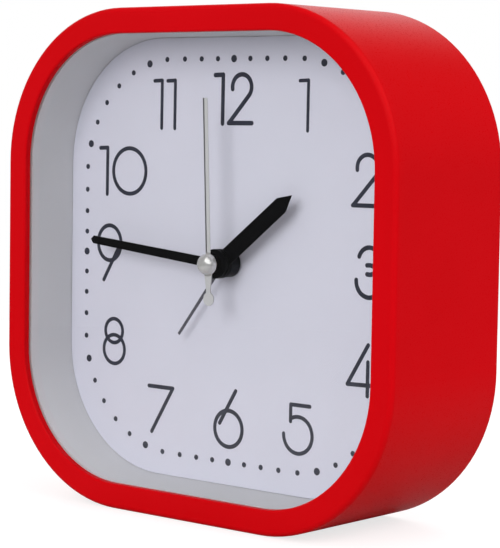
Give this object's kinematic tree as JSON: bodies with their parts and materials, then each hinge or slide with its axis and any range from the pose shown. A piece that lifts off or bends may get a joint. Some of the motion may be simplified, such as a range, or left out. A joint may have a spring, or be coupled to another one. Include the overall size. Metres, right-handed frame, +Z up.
{
  "type": "alarm clock",
  "caption": "Free-standing alarm clock: round-cornered square case, clear window, deep surround, white dial and hands on a geared quartz movement, with knobs and battery door behind.",
  "frame": {"origin": "centre of the bounding box in X and Y, on the plane that the clock stands on", "axes": "+Z up, the dial faces -Y, +X to the right of someone who looks at the dial"},
  "size_m": [0.11, 0.042, 0.11],
  "materials": {
    "case_red": "satin moulded",
    "clear": "clear acrylic window",
    "surround": "fine matt",
    "dial_white": "printed card",
    "steel": "plated",
    "iron": "lamination",
    "black_plastic": "fine matt",
    "movement_plastic": "moulded",
    "wheel_plastic": "natural acetal",
    "brass": "bright",
    "copper": "enamelled wire",
    "ferrite": "sintered magnet",
    "piezo": "fired",
    "board_green": "solder mask",
    "chip_black": "epoxy",
    "can": "drawn can",
    "cell_wrap": "sleeved cell",
    "lead_grey": "flat lead",
    "bright_hand": "polished",
    "black_hand": "satin black",
    "grey_hand": "satin grey"
  },
  "bodies": {
    "housing": {"case_shell": "case_red", "lens": "clear", "dial_frame": "surround", "dial_sheet": "dial_white", "rear_cover": "case_red", "cover_screws": "steel", "switch_body": "black_plastic", "movement_base": "movement_plastic", "movement_cover": "movement_plastic", "movement_screws": "steel", "stator": "iron", "coil_core": "iron", "coil_bobbin": "movement_plastic", "coil_winding": "copper", "alarm_contact": "brass", "circuit_board": "board_green", "ic_chip": "chip_black", "quartz_crystal": "can", "battery_cell": "cell_wrap", "contact_positive": "steel", "contact_negative": "steel", "buzzer_plate": "brass", "buzzer_ceramic": "piezo", "buzzer_lead": "lead_grey", "switch_lead": "lead_grey"},
    "seconds": {"second_hand": "bright_hand", "seconds_arbor": "steel", "seconds_wheel": "wheel_plastic"},
    "fifth": {"fifth_wheel": "wheel_plastic"},
    "rotor": {"rotor_magnet": "ferrite", "rotor_pinion": "wheel_plastic"},
    "third": {"third_wheel": "wheel_plastic"},
    "centre": {"centre_wheel": "wheel_plastic"},
    "minutes": {"minute_hand": "black_hand", "cannon_pinion": "brass", "clutch_spring": "brass"},
    "time_setting": {"minute_wheel": "wheel_plastic", "time_knob": "black_plastic"},
    "hours": {"hour_hand": "black_hand", "hour_wheel": "wheel_plastic"},
    "alarm": {"alarm_hand": "grey_hand", "alarm_wheel": "wheel_plastic"},
    "alarm_setting": {"alarm_pinion": "wheel_plastic", "alarm_knob": "black_plastic"},
    "switch": {"switch_slider": "black_plastic"},
    "door": {"battery_door": "case_red"}
  },
  "joints": [
    {"name": "second_spin", "type": "hinge", "parent": "housing", "child": "seconds", "pos_m": [0, 0, 0.055], "axis": [0, 1, 0], "continuous": true},
    {"name": "fifth_spin", "type": "hinge", "parent": "housing", "child": "fifth", "pos_m": [-0.00684, 0, 0.06486], "axis": [0, 1, 0], "continuous": true},
    {"name": "rotor_spin", "type": "hinge", "parent": "housing", "child": "rotor", "pos_m": [-0.01453, 0, 0.07138], "axis": [0, 1, 0], "continuous": true},
    {"name": "third_spin", "type": "hinge", "parent": "housing", "child": "third", "pos_m": [0.01006, 0, 0.06197], "axis": [0, 1, 0], "continuous": true},
    {"name": "centre_spin", "type": "hinge", "parent": "housing", "child": "centre", "pos_m": [0, 0, 0.055], "axis": [0, 1, 0], "continuous": true},
    {"name": "minute_spin", "type": "hinge", "parent": "housing", "child": "minutes", "pos_m": [0, 0, 0.055], "axis": [0, 1, 0], "continuous": true},
    {"name": "time_setting_spin", "type": "hinge", "parent": "housing", "child": "time_setting", "pos_m": [0.01178, 0, 0.04951], "axis": [0, 1, 0], "continuous": true},
    {"name": "hour_spin", "type": "hinge", "parent": "housing", "child": "hours", "pos_m": [0, 0, 0.055], "axis": [0, 1, 0], "continuous": true},
    {"name": "alarm_spin", "type": "hinge", "parent": "housing", "child": "alarm", "pos_m": [0, 0, 0.055], "axis": [0, 1, 0], "continuous": true},
    {"name": "alarm_setting_spin", "type": "hinge", "parent": "housing", "child": "alarm_setting", "pos_m": [-0.01178, 0, 0.04951], "axis": [0, 1, 0], "continuous": true},
    {"name": "switch_slide", "type": "slide", "parent": "housing", "child": "switch", "axis": [1, 0, 0], "range_m": [0, 0.004]},
    {"name": "door_swing", "type": "hinge", "parent": "housing", "child": "door", "pos_m": [0, 0.01635, 0.01968], "axis": [-1, 0, 0], "range_deg": [0, 95]}
  ],
  "couplings": [
    {"joint": "fifth_spin", "follows": "second_spin", "ratio": -5},
    {"joint": "rotor_spin", "follows": "second_spin", "ratio": 30},
    {"joint": "third_spin", "follows": "second_spin", "ratio": -0.13333},
    {"joint": "centre_spin", "follows": "second_spin", "ratio": 0.016667},
    {"joint": "time_setting_spin", "follows": "minute_spin", "ratio": -0.33333},
    {"joint": "hour_spin", "follows": "minute_spin", "ratio": 0.083333},
    {"joint": "alarm_setting_spin", "follows": "alarm_spin", "ratio": -4}
  ]
}
